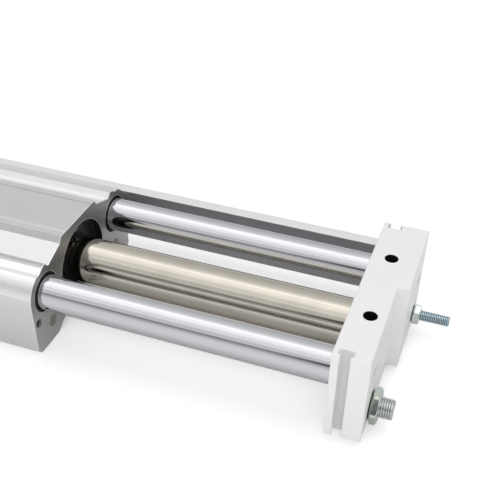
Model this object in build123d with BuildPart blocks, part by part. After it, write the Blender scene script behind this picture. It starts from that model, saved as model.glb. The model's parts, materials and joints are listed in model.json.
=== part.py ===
"""Magnetically coupled rodless cylinder with a plain-bearing slide block on two guide shafts.

X runs along the travel, +Z is the side that the end plates are mounted by. The origin lies on that
mounting face, halfway between the two end plates. Lengths are in millimetres.
"""

from build123d import *
import os
from math import cos, radians, sin

# Travel
stroke = 200.0
block_length = 120.0
end_gap = 5.5  # from the slide block to the end plate at each end of the travel
running_gap = 0.3  # between pieces that come close and never touch

# Guide shafts
shaft_d = 25.0
shaft_pitch = 102.0
shaft_depth = 29.4  # shaft axes below the mounting face
shaft_seat = 10.0  # how deep a shaft sits in each end plate
shaft_chamfer = 1.0

# Cylinder tube
tube_bore = 32.0
tube_wall = 1.1
tube_drop = 7.75  # tube axis below the shaft axes
tube_seat = 12.0
gasket_width = 2.4
gasket_height = 1.6
gasket_inset = 5.0  # from the plate's inner face to the gasket
chamber_length = 8.0  # air space in the plate behind the tube
chamber_ledge = 2.0  # what the tube's end rests against

# End plates: thin near half with the shock absorber, thick far half with the adjusting bolt
plate_side = 2.0  # plates wider than the slide block, each side
plate_floor = 11.5  # adjuster axes above the plates' undersides
plate_step = 8.0
plate_step_y = 2.5
plate_edge = 0.4
slot_x = 8.3  # T-slot centre from the inner face
slot_neck = 6.8
slot_width = 9.8
slot_lip = 1.9
slot_depth = 6.4

# Mounting holes in the end plates
mount_x = 13.6  # from the inner face
mount_inset = 19.75  # from the shaft axes towards the middle
mount_hole_d = 9.0
mount_head_d = 14.5
mount_head_depth = 9.0

# Socket head screws, as shares of the thread diameter
cap_head_share = 0.8  # radius of the head
cap_rim_share = 0.08
cap_tip_share = 0.1
cap_socket_share = 0.75  # width across the socket's flats
cap_socket_depth_share = 0.5
screw_slack = 0.5  # radial clearance of a screw in its hole
head_slack = 0.5  # radial clearance of its head in its recess

# Hexagon nuts
nut_bevel_slope = 0.6  # length of the turned bevel along the nut, per millimetre of its height

# Screws in the shaft ends
shaft_screw_d = 8.0
shaft_screw_lengths = {-1: 25.0, 1: 35.0}  # near and far
shaft_screw_web = 5.5  # plate left under the near heads
shaft_screw_sink = 0.5  # heads below the plates' outer faces
shaft_tap_room = 4.0  # tapped hole beyond the screw's tip

# Air ports, at different heights at the two ends
port_d = 8.6
port_y = 10.5
port_rise = 3.0  # left port above the tube axis, right port below it

# Shock absorbers and adjusting bolts
adjuster_inset = 2.0  # their axes from the shaft axes towards the middle
adjuster_depth = 27.8  # and below the shaft axes
absorber_d = 14.0
absorber_stroke = 8.0
absorber_sink = 0.2  # cap's face behind the plate's inner face
absorber_proud = 15.25  # body's end outside the plate's outer face
absorber_cap_d = 9.0
absorber_cap_length = 4.0
absorber_rod_d = 4.0
absorber_rod_guide = 10.0  # rod held inside the body
absorber_rod_grip = 2.0  # rod held inside the cap
absorber_rod_room = 1.0  # bore behind the rod when it is pressed in
absorber_socket = 5.0
absorber_socket_depth = 3.5
absorber_nut_flats = 22.0
absorber_nut_height = 6.2
absorber_nut_turn = -10  # degrees that the tightened nut stands off level flats
bolt_d = 8.0
bolt_length = 60.0
bolt_reach = 1.0  # bolt's tip in front of the plate's inner face
bolt_socket = 4.0
bolt_socket_depth = 4.0
bolt_nut_flats = 14.0
bolt_nut_height = 5.7
bolt_nut_turn = 20
thread_gap = 0.05  # radial clearance of a thread
adjuster_chamfer = 1.0

# Slide block, a drawn profile
block_recess = 0.95  # deck below the plates' mounting face
block_edge = 0.6
shoulder_wall = 7.25  # round shoulder outside the shaft
shoulder_flat = 2.0  # cut off the top of the round shoulder
deck_width = 48.8
deck_bevel_y = 2.6
deck_bevel_z = 4.25
deck_line_inset = 5.4  # line's centre inside the deck's edge
deck_line_width = 1.6
deck_line_depth = 0.6
valley_inset = 7.0  # valley's outer end inside the shaft axis
valley_drop = 1.85  # valley's outer end below the top of the round shoulder
crest_rise = 3.3
crest_width = 3.1
shelf_start = 5.3  # shelf's inner end outside the shaft axis
foot_reach = 4.45  # feet below the plates' undersides
foot_width = 23.4
foot_bevel = 4.25
foot_slope = 8.6
channel_depth = 6.25
keel_relief = 0.5  # keel above the feet

# Guide bushes and scrapers in the slide block
bush_wall = 1.5
bush_length = 30.0
bush_gap = 0.03  # radial running clearance on the shaft
scraper_wall = 2.15  # scraper's seat outside the shaft
scraper_length = 4.0
scraper_gap = 0.08
guide_relief = 0.8  # radial clearance round the shaft between the bushes

# Magnet pack in the slide block
pack_room = 12.9  # radial room round the tube
pack_recess = 6.0
snap_thickness = 2.0
snap_groove = 1.5  # groove depth in the block
snap_radial_width = 3.4
snap_lug_d = 8.0
snap_lug_inset = 5.4  # lug centre inside the bore wall
snap_lug_angle = 11.0
snap_hole_d = 2.5
snap_mouth = 3.0
collar_length = 14.0
collar_wall = 10.0
wear_gap = 0.05
wear_length = 9.0
magnet_count = 4
magnet_length = 10.0
magnet_inset = 1.5
magnet_tube_gap = 0.9

# Piston pack in the tube
piston_length = 14.0
piston_gap = 0.4
piston_shaft_d = 8.0
piston_shaft_slack = 0.1
piston_magnet_inset = 0.6
piston_seal_width = 3.0
piston_seal_depth = 2.5
piston_wear_width = 5.0
piston_wear_depth = 1.4
piston_land = 2.0
piston_nut_flats = 13.0
piston_nut_height = 6.5
piston_shaft_proud = 1.5
piston_shaft_chamfer = 0.75

# Strike pads, magnet for the position sensor and load holes in the slide block
pad_d = 9.5
pad_length = 10.0
pad_proud = 0.4
pad_chamfer = 0.3
pocket_out = 14.0  # pocket axes outside the shaft axes
pocket_drop = 17.5  # pocket axes below the shaft axes
pocket_d = 6.6
pocket_depth = 22.0
pocket_screw_inset = 1.5
pocket_screw_length = 6.0
pocket_socket = 3.0
pocket_socket_depth = 3.0
sensor_magnet_length = 8.0
load_pitch_x = 80.0
load_hole_d = 6.8
load_hole_depth = 14.0

# Sensor rail
rail_thickness = 9.0
rail_height = 34.0
rail_rise = 7.9  # rail's top edge above the shaft axes
rail_tail = 7.7  # past its screws
rail_edge = 0.5
rail_groove_neck = 3.4
rail_groove_width = 5.2
rail_groove_lip = 1.2
rail_groove_depth = 4.6
rail_screw_d = 5.0
rail_screw_slack = 0.25
rail_screw_room = 0.2  # from the screw's tip to the floor of the T-slot
rail_head_slack = 0.5
rail_head_sink = 0.2
rail_screw_drops = (5.4, 15.9)  # below the rail's top edge
rail_nut_room = 0.5  # from the nut to the floor of the T-slot

# Sizes that follow from these
tube_d = tube_bore + 2 * tube_wall
pack_bore = tube_d + 2 * pack_room
scraper_d = shaft_d + 2 * scraper_wall
shoulder_r = shaft_d / 2 + shoulder_wall
block_width = shaft_pitch + 2 * shoulder_r
plate_width = block_width + 2 * plate_side
plate_height = shaft_depth + adjuster_depth + plate_floor
plate_thin = shaft_seat + shaft_screw_web + shaft_screw_d + shaft_screw_sink
plate_thick = plate_thin + plate_step
block_depth = plate_height + foot_reach
mount_pitch = shaft_pitch - 2 * mount_inset
absorber_front = absorber_sink + absorber_cap_length + absorber_stroke + running_gap
absorber_length = plate_thin + absorber_proud - absorber_front
rail_overhang = slot_x + rail_tail
rail_head_depth = rail_screw_d + rail_head_sink
rail_screw_length = rail_thickness - rail_head_depth + slot_depth - rail_screw_room
rail_nut_height = slot_depth - slot_lip - rail_nut_room

# Places that follow from the sizes
plate_inner = block_length / 2 + stroke / 2 + end_gap
shaft_y = shaft_pitch / 2
shaft_z = -shaft_depth
tube_z = shaft_z - tube_drop
adjuster_y = shaft_y - adjuster_inset
adjuster_z = shaft_z - adjuster_depth
pocket_y = shaft_y + pocket_out
pocket_z = shaft_z - pocket_drop
deck_line_y = deck_width / 2 - deck_line_inset
block_right = end_gap + block_length - plate_inner
block_left = end_gap - plate_inner
block_x = (block_left + block_right) / 2
pack_face = pack_recess + snap_thickness
pack_length = block_length - 2 * pack_face - 2 * collar_length
yoke_count = magnet_count + 1
yoke_length = (pack_length - magnet_count * magnet_length) / yoke_count
pack_pitch = magnet_length + yoke_length
outer_faces = {-1: plate_inner + plate_thin, 1: plate_inner + plate_thick}
shaft_head_depth = shaft_screw_d + shaft_screw_sink
rail_y = plate_width / 2
rail_top = shaft_z + rail_rise
foot_y = block_width / 2 - foot_bevel - foot_width / 2
sides = {"near": -1, "far": 1}
ends = {"left": -1, "right": 1}


def save(builder, name):
    """Label a finished piece and write it to its own file."""
    builder.part.label = name
    export_step(builder.part, f"parts/{name}.step")


def across(x):
    """Plane square to the travel at x, with its own x along Y and its own y along Z."""
    return Plane.YZ.offset(x)


def mirrored(builder):
    """The same piece for the left end."""
    with BuildPart() as other_end:
        mirror(builder.part, about=Plane.YZ)
    return other_end


def ring(x, length, y, z, outer_r, inner_r):
    """Ring round an axis along X, from x to x + length."""
    with BuildPart() as piece:
        with BuildSketch(across(x)):
            with Locations((y, z)):
                Circle(outer_r)
                Circle(inner_r, mode=Mode.SUBTRACT)
        extrude(amount=length)
    return piece


def cap_screw(thread_d, length):
    """Socket head screw along X, its head's seat at the origin and its head towards +X."""
    with BuildPart() as screw:
        with BuildSketch(Plane.YZ):
            Circle(cap_head_share * thread_d)
        extrude(amount=thread_d)
        chamfer(screw.faces().sort_by(Axis.X)[-1].edges(), cap_rim_share * thread_d)
        with BuildSketch(Plane.YZ):
            Circle(thread_d / 2)
        extrude(amount=-length)
        chamfer(screw.faces().sort_by(Axis.X)[0].edges(), cap_tip_share * thread_d)
        with BuildSketch(across(thread_d)):
            RegularPolygon(cap_socket_share * thread_d / 2, 6, major_radius=False)
        extrude(amount=-cap_socket_depth_share * thread_d, mode=Mode.SUBTRACT)
    return screw.part


def hex_nut(flats, height, bore_r, turn=0):
    """Hexagon nut along +X from the origin, both faces turned down to the flats."""
    corner_r = flats / 2 / cos(radians(30))
    turned = corner_r - flats / 2
    face_r = (flats - turned) / 2
    bevel = turned * nut_bevel_slope
    with BuildPart() as nut:
        with BuildSketch(Plane.YZ):
            RegularPolygon(flats / 2, 6, major_radius=False, rotation=turn)
            Circle(bore_r, mode=Mode.SUBTRACT)
        extrude(amount=height)
        with BuildSketch(Plane.XZ):
            with BuildLine():
                Polyline(
                    (0, 0),
                    (0, face_r),
                    (bevel, corner_r),
                    (height - bevel, corner_r),
                    (height, face_r),
                    (height, 0),
                    close=True,
                )
            make_face()
        revolve(axis=Axis.X, mode=Mode.INTERSECT)
    return nut.part


def end_plate(port_z):
    """Right end plate: a stepped slab, slotted at both ends, bored for tube, shafts and adjusters."""
    with BuildPart() as plate:
        with BuildSketch():
            with Locations((plate_inner, 0)):
                Rectangle(plate_thin, plate_width, align=(Align.MIN, Align.CENTER))
            with Locations((plate_inner, plate_step_y)):
                Rectangle(
                    plate_thick,
                    plate_width / 2 - plate_step_y,
                    align=(Align.MIN, Align.MIN),
                )
        extrude(amount=-plate_height)
        chamfer(plate.faces().sort_by(Axis.Z)[-1].edges(), plate_edge)
        chamfer(plate.faces().sort_by(Axis.Z)[0].edges(), plate_edge)

        with BuildSketch():
            for end in sides.values():
                with Locations((plate_inner + slot_x, end * plate_width / 2)):
                    Rectangle(slot_neck, 2 * slot_depth)
                with Locations(
                    (plate_inner + slot_x, end * (plate_width - slot_depth - slot_lip) / 2)
                ):
                    Rectangle(slot_width, slot_depth - slot_lip)
        extrude(amount=-plate_height, mode=Mode.SUBTRACT)

        for side in sides.values():
            under = (plate_inner + mount_x, side * mount_pitch / 2, -plate_height)
            with Locations(Plane(origin=under, z_dir=(0, 0, -1))):
                CounterBoreHole(
                    mount_hole_d / 2, mount_head_d / 2, mount_head_depth, plate_height
                )
        mouths = plate.faces().sort_by(Axis.Z)[-1].edges().filter_by(GeomType.CIRCLE)
        chamfer(mouths, plate_edge)

        with BuildSketch(across(plate_inner)):
            for side in sides.values():
                with Locations((side * shaft_y, shaft_z)):
                    Circle(shaft_d / 2)
        extrude(amount=shaft_seat, mode=Mode.SUBTRACT)
        for side in sides.values():
            outside = (outer_faces[side], side * shaft_y, shaft_z)
            with Locations(Plane(origin=outside, z_dir=(1, 0, 0))):
                CounterBoreHole(
                    shaft_screw_d / 2 + screw_slack,
                    cap_head_share * shaft_screw_d + head_slack,
                    shaft_head_depth,
                    outer_faces[side] - plate_inner,
                )

        with BuildSketch(across(plate_inner)):
            with Locations((0, tube_z)):
                Circle(tube_d / 2)
        extrude(amount=tube_seat, mode=Mode.SUBTRACT)
        with BuildSketch(across(plate_inner + gasket_inset)):
            with Locations((0, tube_z)):
                Circle(tube_d / 2 + gasket_height)
        extrude(amount=gasket_width, mode=Mode.SUBTRACT)
        with BuildSketch(across(plate_inner + tube_seat)):
            with Locations((0, tube_z)):
                Circle(tube_bore / 2 - chamber_ledge)
        extrude(amount=chamber_length, mode=Mode.SUBTRACT)
        with BuildSketch(across(plate_inner + tube_seat + chamber_length / 2)):
            with Locations((port_y, port_z)):
                Circle(port_d / 2)
        extrude(amount=plate_thick, mode=Mode.SUBTRACT)

        with BuildSketch(across(plate_inner)):
            with Locations((-adjuster_y, adjuster_z)):
                Circle(absorber_d / 2 + thread_gap)
            with Locations((adjuster_y, adjuster_z)):
                Circle(bolt_d / 2 + thread_gap)
        extrude(amount=plate_thick, mode=Mode.SUBTRACT)
    return plate


def guide_shaft(side):
    """Hardened shaft with a tapped hole in each end."""
    length = 2 * (plate_inner + shaft_seat)
    screw_tip = outer_faces[side] - shaft_head_depth - shaft_screw_lengths[side]
    with BuildPart() as shaft:
        with BuildSketch(across(-length / 2)):
            with Locations((side * shaft_y, shaft_z)):
                Circle(shaft_d / 2)
        extrude(amount=length)
        chamfer(shaft.edges().filter_by(GeomType.CIRCLE), shaft_chamfer)
        for end in ends.values():
            mouth = (end * length / 2, side * shaft_y, shaft_z)
            with Locations(Plane(origin=mouth, z_dir=(end, 0, 0))):
                Hole(shaft_screw_d / 2, length / 2 - screw_tip + shaft_tap_room)
    return shaft


def shaft_screws():
    """The four screws that draw the shafts into the end plates."""
    with BuildPart() as screws:
        for side in sides.values():
            screw = cap_screw(shaft_screw_d, shaft_screw_lengths[side])
            seat_x = outer_faces[side] - shaft_head_depth
            for end in ends.values():
                seat = Location(
                    (end * seat_x, side * shaft_y, shaft_z),
                    (0, 0, 0 if end > 0 else 180),
                )
                with Locations(seat):
                    add(screw)
    return screws


def absorber_body():
    """Threaded body of the right shock absorber, bored for its rod."""
    with BuildPart() as body:
        with BuildSketch(across(plate_inner + absorber_front)):
            with Locations((-adjuster_y, adjuster_z)):
                Circle(absorber_d / 2)
        extrude(amount=absorber_length)
        chamfer(body.edges().filter_by(GeomType.CIRCLE), adjuster_chamfer)
        with BuildSketch(across(plate_inner + absorber_front)):
            with Locations((-adjuster_y, adjuster_z)):
                Circle(absorber_rod_d / 2 + thread_gap)
        extrude(
            amount=absorber_rod_guide + absorber_stroke + absorber_rod_room,
            mode=Mode.SUBTRACT,
        )
        with BuildSketch(across(plate_inner + absorber_front + absorber_length)):
            with Locations((-adjuster_y, adjuster_z)):
                RegularPolygon(absorber_socket / 2, 6, major_radius=False)
        extrude(amount=-absorber_socket_depth, mode=Mode.SUBTRACT)
    return body


def absorber_rod():
    """Rod of the right shock absorber, drawn fully out."""
    start = plate_inner + absorber_sink + absorber_cap_length - absorber_rod_grip
    end = plate_inner + absorber_front + absorber_rod_guide
    with BuildPart() as rod:
        with BuildSketch(across(start)):
            with Locations((-adjuster_y, adjuster_z)):
                Circle(absorber_rod_d / 2)
        extrude(amount=end - start)
    return rod


def absorber_cap():
    """Resin cap on the rod of the right shock absorber."""
    face = plate_inner + absorber_sink
    with BuildPart() as cap:
        with BuildSketch(across(face)):
            with Locations((-adjuster_y, adjuster_z)):
                Circle(absorber_cap_d / 2)
        extrude(amount=absorber_cap_length)
        fillet(cap.faces().sort_by(Axis.X)[0].edges(), adjuster_chamfer)
        with BuildSketch(across(face + absorber_cap_length)):
            with Locations((-adjuster_y, adjuster_z)):
                Circle(absorber_rod_d / 2)
        extrude(amount=-absorber_rod_grip, mode=Mode.SUBTRACT)
    return cap


def adjusting_bolt():
    """Right stroke adjusting bolt, with a hexagon socket in its outer end."""
    with BuildPart() as bolt:
        with BuildSketch(across(plate_inner - bolt_reach)):
            with Locations((adjuster_y, adjuster_z)):
                Circle(bolt_d / 2)
        extrude(amount=bolt_length)
        chamfer(bolt.edges().filter_by(GeomType.CIRCLE), adjuster_chamfer)
        with BuildSketch(across(plate_inner - bolt_reach + bolt_length)):
            with Locations((adjuster_y, adjuster_z)):
                RegularPolygon(bolt_socket / 2, 6, major_radius=False)
        extrude(amount=-bolt_socket_depth, mode=Mode.SUBTRACT)
    return bolt


def lock_nut(side, flats, height, thread_d, turn):
    """Lock nut of a right-hand adjuster, against the plate's outer face."""
    nut = hex_nut(flats, height, thread_d / 2 + thread_gap, turn)
    with BuildPart() as placed:
        with Locations((outer_faces[side], side * adjuster_y, adjuster_z)):
            add(nut)
    return placed


def block_profile():
    """Half of the slide block's section for y > 0, mirrored to the other half."""
    half = block_width / 2
    top = -block_recess
    deck = deck_width / 2
    valley_y = shaft_y - valley_inset
    valley_z = shaft_z + shoulder_r - valley_drop
    crest_y = valley_y + crest_rise
    crest_z = valley_z + crest_rise
    shelf_rise = shoulder_r - shoulder_flat
    shelf_z = shaft_z + shelf_rise
    arc_y = shaft_y + (shoulder_r**2 - shelf_rise**2) ** 0.5
    slant = radians(45)
    foot_out = half - foot_bevel
    foot_in = foot_out - foot_width
    ceiling = channel_depth - block_depth
    keel_z = keel_relief - block_depth
    with BuildSketch(across(block_left)) as section:
        with BuildLine():
            Polyline(
                (0, top),
                (deck, top),
                (deck + deck_bevel_y, top - deck_bevel_z),
                (valley_y, valley_z),
                (crest_y, crest_z),
                (crest_y + crest_width, crest_z),
                (shaft_y + shelf_start, shelf_z),
                (arc_y, shelf_z),
            )
            ThreePointArc(
                (arc_y, shelf_z),
                (shaft_y + shoulder_r * cos(slant), shaft_z + shoulder_r * sin(slant)),
                (half, shaft_z),
            )
            Polyline(
                (half, shaft_z),
                (half, foot_bevel - block_depth),
                (foot_out, -block_depth),
                (foot_in, -block_depth),
                (foot_in - foot_slope, ceiling),
                (deck + deck_bevel_y, ceiling),
                (deck, keel_z),
                (0, keel_z),
            )
            mirror(about=Plane.YZ)
        make_face()
    return section.sketch


def slide_block():
    """Slide block: the drawn profile, bored for the magnet pack, the bushes and the pads."""
    guide_depth = scraper_length + bush_length
    with BuildPart() as block:
        extrude(block_profile(), amount=block_length)
        chamfer(block.faces().sort_by(Axis.X)[0].edges(), block_edge)
        chamfer(block.faces().sort_by(Axis.X)[-1].edges(), block_edge)
        with BuildSketch(across(block_left)):
            with Locations((-deck_line_y, -block_recess), (deck_line_y, -block_recess)):
                Rectangle(deck_line_width, 2 * deck_line_depth)
        extrude(amount=block_length, mode=Mode.SUBTRACT)

        with BuildSketch(across(block_left)):
            with Locations((0, tube_z)):
                Circle(pack_bore / 2)
            with Locations((-shaft_y, shaft_z), (shaft_y, shaft_z)):
                Circle(shaft_d / 2 + guide_relief)
        extrude(amount=block_length, mode=Mode.SUBTRACT)

        for face, inward in ((block_left, 1), (block_right, -1)):
            with BuildSketch(across(face)):
                with Locations((-shaft_y, shaft_z), (shaft_y, shaft_z)):
                    Circle(shaft_d / 2 + bush_wall)
            extrude(amount=inward * guide_depth, mode=Mode.SUBTRACT)
            with BuildSketch(across(face)):
                with Locations((-shaft_y, shaft_z), (shaft_y, shaft_z)):
                    Circle(scraper_d / 2)
            extrude(amount=inward * scraper_length, mode=Mode.SUBTRACT)
            with BuildSketch(across(face + inward * pack_recess)):
                with Locations((0, tube_z)):
                    Circle(pack_bore / 2 + snap_groove)
            extrude(amount=inward * snap_thickness, mode=Mode.SUBTRACT)
            with BuildSketch(across(face)):
                with Locations((-adjuster_y, adjuster_z), (adjuster_y, adjuster_z)):
                    Circle(pad_d / 2)
            extrude(amount=inward * (pad_length - pad_proud), mode=Mode.SUBTRACT)
            with BuildSketch(across(face)):
                with Locations((-pocket_y, pocket_z), (pocket_y, pocket_z)):
                    Circle(pocket_d / 2)
            extrude(amount=inward * pocket_depth, mode=Mode.SUBTRACT)

        with BuildSketch(Plane.XY.offset(-block_depth)):
            with Locations((block_x, 0)):
                with GridLocations(load_pitch_x, 2 * foot_y, 2, 2):
                    Circle(load_hole_d / 2)
        extrude(amount=load_hole_depth, mode=Mode.SUBTRACT)
    return block


def snap_ring(face, inward):
    """Circlip in the slide block's bore, open at the top, with a lug each side of its mouth."""
    start = face + inward * pack_recess
    outer_r = pack_bore / 2 + snap_groove
    with BuildPart() as clip:
        with BuildSketch(across(start)):
            with Locations((0, tube_z)):
                Circle(outer_r)
                Circle(outer_r - snap_radial_width, mode=Mode.SUBTRACT)
                for side in sides.values():
                    with PolarLocations(
                        pack_bore / 2 - snap_lug_inset,
                        1,
                        start_angle=90 + side * snap_lug_angle,
                    ):
                        Circle(snap_lug_d / 2)
                        Circle(snap_hole_d / 2, mode=Mode.SUBTRACT)
            with Locations((0, tube_z)):
                Rectangle(
                    snap_mouth, 2 * pack_bore, align=(Align.CENTER, Align.MIN), mode=Mode.SUBTRACT
                )
        extrude(amount=inward * snap_thickness)
    return clip


def strike_pads():
    """Four hardened pads that the adjusters meet, pressed into the ends of the slide block."""
    with BuildPart() as pads:
        for face, inward in ((block_left, 1), (block_right, -1)):
            with BuildSketch(across(face - inward * pad_proud)):
                with Locations((-adjuster_y, adjuster_z), (adjuster_y, adjuster_z)):
                    Circle(pad_d / 2)
            extrude(amount=inward * pad_length)
        rims = pads.edges().filter_by(GeomType.CIRCLE).group_by(Axis.X)
        chamfer(rims[0] + rims[-1], pad_chamfer)
    return pads


def pocket_screws():
    """Four set screws that close the magnet pockets, with hexagon sockets."""
    with BuildPart() as screws:
        for face, inward in ((block_left, 1), (block_right, -1)):
            start = face + inward * pocket_screw_inset
            with BuildSketch(across(start)):
                with Locations((-pocket_y, pocket_z), (pocket_y, pocket_z)):
                    Circle(pocket_d / 2)
            extrude(amount=inward * pocket_screw_length)
            with BuildSketch(across(start)):
                with Locations((-pocket_y, pocket_z), (pocket_y, pocket_z)):
                    RegularPolygon(pocket_socket / 2, 6, major_radius=False)
            extrude(amount=inward * pocket_socket_depth, mode=Mode.SUBTRACT)
    return screws


def sensor_magnet():
    """Magnet for the position sensor, behind the set screw next to the rail."""
    start = block_right - pocket_screw_inset - pocket_screw_length
    with BuildPart() as magnet:
        with BuildSketch(across(start)):
            with Locations((pocket_y, pocket_z)):
                Circle(pocket_d / 2)
        extrude(amount=-sensor_magnet_length)
    return magnet


def magnet_pack(outer_r, inner_r, yoke_outer_r, yoke_inner_r):
    """Row of ring magnets and the yokes between and beside them, centred on the slide block."""
    start = block_x - pack_length / 2
    magnets = []
    for index in range(magnet_count):
        x = start + yoke_length + index * pack_pitch
        magnets.append(ring(x, magnet_length, 0, tube_z, outer_r, inner_r))
    with BuildPart() as yokes:
        for index in range(yoke_count):
            with BuildSketch(across(start + index * pack_pitch)):
                with Locations((0, tube_z)):
                    Circle(yoke_outer_r)
                    Circle(yoke_inner_r, mode=Mode.SUBTRACT)
            extrude(amount=yoke_length)
    return magnets, yokes


def piston(end):
    """Piston at one end of the inner pack, grooved for its seal and its wear ring."""
    root = block_x + end * pack_length / 2
    outer_r = tube_bore / 2 - piston_gap
    seal_at = piston_length - piston_land - piston_seal_width
    wear_at = piston_land
    with BuildPart() as body:
        with BuildSketch(across(root)):
            with Locations((0, tube_z)):
                Circle(outer_r)
        extrude(amount=end * piston_length)
        with BuildSketch(across(root + end * seal_at)):
            with Locations((0, tube_z)):
                Circle(outer_r)
                Circle(outer_r - piston_seal_depth, mode=Mode.SUBTRACT)
        extrude(amount=end * piston_seal_width, mode=Mode.SUBTRACT)
        with BuildSketch(across(root + end * wear_at)):
            with Locations((0, tube_z)):
                Circle(outer_r)
                Circle(outer_r - piston_wear_depth, mode=Mode.SUBTRACT)
        extrude(amount=end * piston_wear_width, mode=Mode.SUBTRACT)
        with BuildSketch(across(root)):
            with Locations((0, tube_z)):
                Circle(piston_shaft_d / 2 + piston_shaft_slack)
        extrude(amount=end * piston_length, mode=Mode.SUBTRACT)
    seal_x = root + end * (seal_at + piston_seal_width / 2) - piston_seal_width / 2
    wear_x = root + end * (wear_at + piston_wear_width / 2) - piston_wear_width / 2
    seal = ring(
        seal_x,
        piston_seal_width,
        0,
        tube_z,
        tube_bore / 2 - scraper_gap,
        outer_r - piston_seal_depth,
    )
    wear = ring(
        wear_x,
        piston_wear_width,
        0,
        tube_z,
        tube_bore / 2 - wear_gap,
        outer_r - piston_wear_depth,
    )
    return body, seal, wear


def piston_shaft():
    """Bolt through the inner pack, threaded at both ends."""
    length = pack_length + 2 * (piston_length + piston_nut_height + piston_shaft_proud)
    with BuildPart() as shaft:
        with BuildSketch(across(block_x - length / 2)):
            with Locations((0, tube_z)):
                Circle(piston_shaft_d / 2)
        extrude(amount=length)
        chamfer(shaft.edges().filter_by(GeomType.CIRCLE), piston_shaft_chamfer)
    return shaft


def piston_nuts():
    """The two nuts that clamp the inner pack."""
    nut = hex_nut(piston_nut_flats, piston_nut_height, piston_shaft_d / 2)
    offset = pack_length / 2 + piston_length
    with BuildPart() as nuts:
        with Locations((block_x + offset, 0, tube_z)):
            add(nut)
        with Locations(Location((block_x - offset, 0, tube_z), (0, 0, 180))):
            add(nut)
    return nuts


def sensor_rail():
    """Rail on the far ends of the plates, with a groove along it for position sensors."""
    length = 2 * (plate_inner + rail_overhang)
    face = rail_y + rail_thickness
    with BuildPart() as rail:
        with BuildSketch(across(-length / 2)):
            with Locations((rail_y, rail_top)):
                Rectangle(rail_thickness, rail_height, align=(Align.MIN, Align.MAX))
        extrude(amount=length)
        chamfer(rail.edges().filter_by(Axis.X), rail_edge)
        with BuildSketch(across(-length / 2)):
            with Locations((face, pocket_z)):
                Rectangle(2 * rail_groove_depth, rail_groove_neck)
            with Locations((face - rail_groove_lip, pocket_z)):
                Rectangle(
                    rail_groove_depth - rail_groove_lip,
                    rail_groove_width,
                    align=(Align.MAX, Align.CENTER),
                )
        extrude(amount=length, mode=Mode.SUBTRACT)
        for end in ends.values():
            for drop in rail_screw_drops:
                place = (end * (plate_inner + slot_x), face, rail_top - drop)
                with Locations(Plane(origin=place, z_dir=(0, 1, 0))):
                    CounterBoreHole(
                        rail_screw_d / 2 + rail_screw_slack,
                        cap_head_share * rail_screw_d + rail_head_slack,
                        rail_head_depth,
                        rail_thickness,
                    )
    return rail


def rail_screws():
    """The four screws of the rail."""
    screw = cap_screw(rail_screw_d, rail_screw_length)
    seat_y = rail_y + rail_thickness - rail_head_depth
    with BuildPart() as screws:
        for end in ends.values():
            for drop in rail_screw_drops:
                place = (end * (plate_inner + slot_x), seat_y, rail_top - drop)
                with Locations(Location(place, (0, 0, 90))):
                    add(screw)
    return screws


def rail_nuts():
    """Square nuts behind the lips of the plates' T-slots, one on each rail screw."""
    width = slot_width - 2 * running_gap
    with BuildPart() as nuts:
        for end in ends.values():
            for drop in rail_screw_drops:
                place = (end * (plate_inner + slot_x), rail_y - slot_lip, rail_top - drop)
                with BuildSketch(Plane(origin=place, x_dir=(1, 0, 0), z_dir=(0, 1, 0))):
                    Rectangle(width, width)
                    Circle(rail_screw_d / 2, mode=Mode.SUBTRACT)
                extrude(amount=-rail_nut_height)
    return nuts


def tube_gaskets():
    """Seals between the tube and the plates."""
    with BuildPart() as gaskets:
        for end in ends.values():
            with BuildSketch(across(end * (plate_inner + gasket_inset))):
                with Locations((0, tube_z)):
                    Circle(tube_d / 2 + gasket_height)
                    Circle(tube_d / 2, mode=Mode.SUBTRACT)
            extrude(amount=end * gasket_width)
    return gaskets


def write_frame():
    """Pieces that stand still: plates, shafts, tube, rail and what fastens them."""
    save(end_plate(tube_z - port_rise), "end_plate_right")
    save(mirrored(end_plate(tube_z + port_rise)), "end_plate_left")
    for name, side in sides.items():
        save(guide_shaft(side), f"guide_shaft_{name}")
    tube_length = 2 * (plate_inner + tube_seat)
    save(ring(-tube_length / 2, tube_length, 0, tube_z, tube_d / 2, tube_bore / 2), "cylinder_tube")
    save(tube_gaskets(), "tube_gaskets")
    save(shaft_screws(), "shaft_screws")
    save(sensor_rail(), "sensor_rail")
    save(rail_screws(), "rail_screws")
    save(rail_nuts(), "rail_nuts")


def write_adjusters():
    """Shock absorbers, adjusting bolts and their lock nuts, at both ends."""
    pieces = {
        "absorber_body": absorber_body(),
        "absorber_rod": absorber_rod(),
        "absorber_cap": absorber_cap(),
        "absorber_nut": lock_nut(
            -1, absorber_nut_flats, absorber_nut_height, absorber_d, absorber_nut_turn
        ),
        "adjusting_bolt": adjusting_bolt(),
        "bolt_nut": lock_nut(1, bolt_nut_flats, bolt_nut_height, bolt_d, bolt_nut_turn),
    }
    for name, piece in pieces.items():
        save(piece, f"{name}_right")
        save(mirrored(piece), f"{name}_left")


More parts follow.
